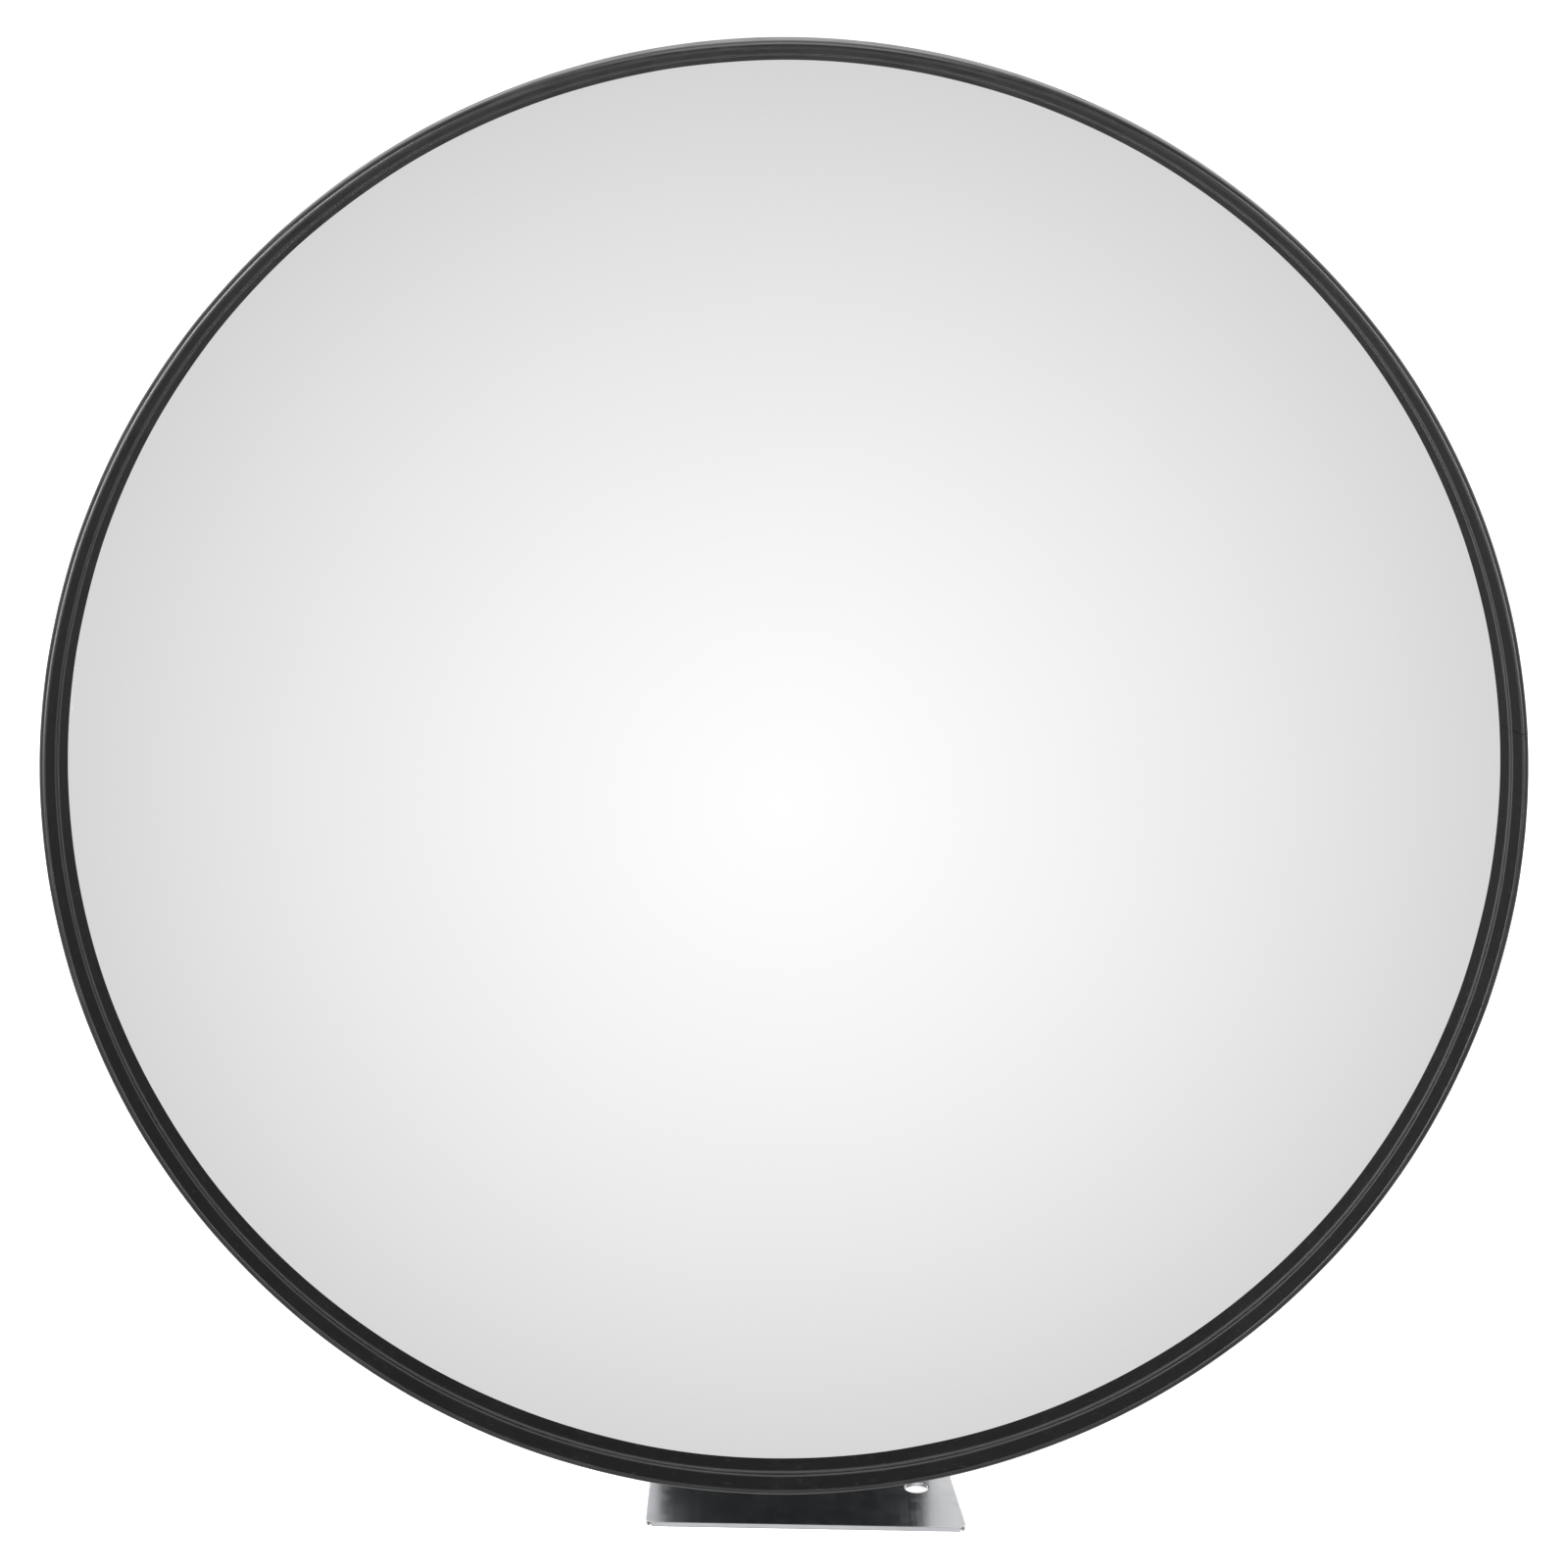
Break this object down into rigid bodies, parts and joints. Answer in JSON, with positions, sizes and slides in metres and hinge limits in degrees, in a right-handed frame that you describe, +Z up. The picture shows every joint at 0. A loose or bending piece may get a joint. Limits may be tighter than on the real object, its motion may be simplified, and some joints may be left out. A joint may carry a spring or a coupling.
{
  "type": "convex security mirror",
  "caption": "Round convex mirror with a black edge trim on a galvanised angle bracket that lets it swivel and tilt, for surveillance in shops.",
  "frame": {"origin": "underside of the angle bracket's base leg, below the middle of the mirror and 44 mm in front of the upright leg's rear face", "axes": "+Z up from the base leg along the upright leg, the mirror looks along -Y, +X to the right of someone looking at the mirror's face"},
  "size_m": [0.45, 0.1372, 0.4743],
  "materials": {
    "silvered_acrylic": "polished, silvered behind",
    "black_rubber": "satin extruded",
    "black_shell_plastic": "fine moulded texture",
    "galvanised_sheet": "zinc plated, rolled",
    "plated_fastener": "bright zinc plated",
    "nylon_washer": "natural nylon"
  },
  "bodies": {
    "bracket": {"mounting_bracket": "galvanised_sheet", "swivel_bolt": "plated_fastener", "thrust_washer": "nylon_washer", "swivel_washer": "plated_fastener", "swivel_spring_washer": "plated_fastener", "swivel_nut": "plated_fastener"},
    "yoke": {"swivel_yoke": "galvanised_sheet", "tilt_bolt_left": "plated_fastener", "tilt_bolt_right": "plated_fastener", "friction_washer_left": "nylon_washer", "friction_washer_right": "nylon_washer", "tilt_washer_left": "plated_fastener", "tilt_washer_right": "plated_fastener", "tilt_spring_washer_left": "plated_fastener", "tilt_spring_washer_right": "plated_fastener", "tilt_nut_left": "plated_fastener", "tilt_nut_right": "plated_fastener"},
    "head": {"mirror_dome": "silvered_acrylic", "edge_trim": "black_rubber", "back_shell": "black_shell_plastic", "backing_plate": "galvanised_sheet", "tilt_bracket": "galvanised_sheet", "pad_bolt_1": "plated_fastener", "pad_bolt_2": "plated_fastener", "pad_bolt_3": "plated_fastener", "pad_bolt_4": "plated_fastener", "pad_washer_1": "plated_fastener", "pad_washer_2": "plated_fastener", "pad_washer_3": "plated_fastener", "pad_washer_4": "plated_fastener", "pad_nut_1": "plated_fastener", "pad_nut_2": "plated_fastener", "pad_nut_3": "plated_fastener", "pad_nut_4": "plated_fastener"}
  },
  "joints": [
    {"name": "swivel", "type": "hinge", "parent": "bracket", "child": "yoke", "pos_m": [0, 0, 0.245], "axis": [0, 1, 0], "range_deg": [-90, 90]},
    {"name": "tilt", "type": "hinge", "parent": "yoke", "child": "head", "pos_m": [0, 0.002, 0.245], "axis": [-1, 0, 0], "range_deg": [-20, 25]}
  ]
}
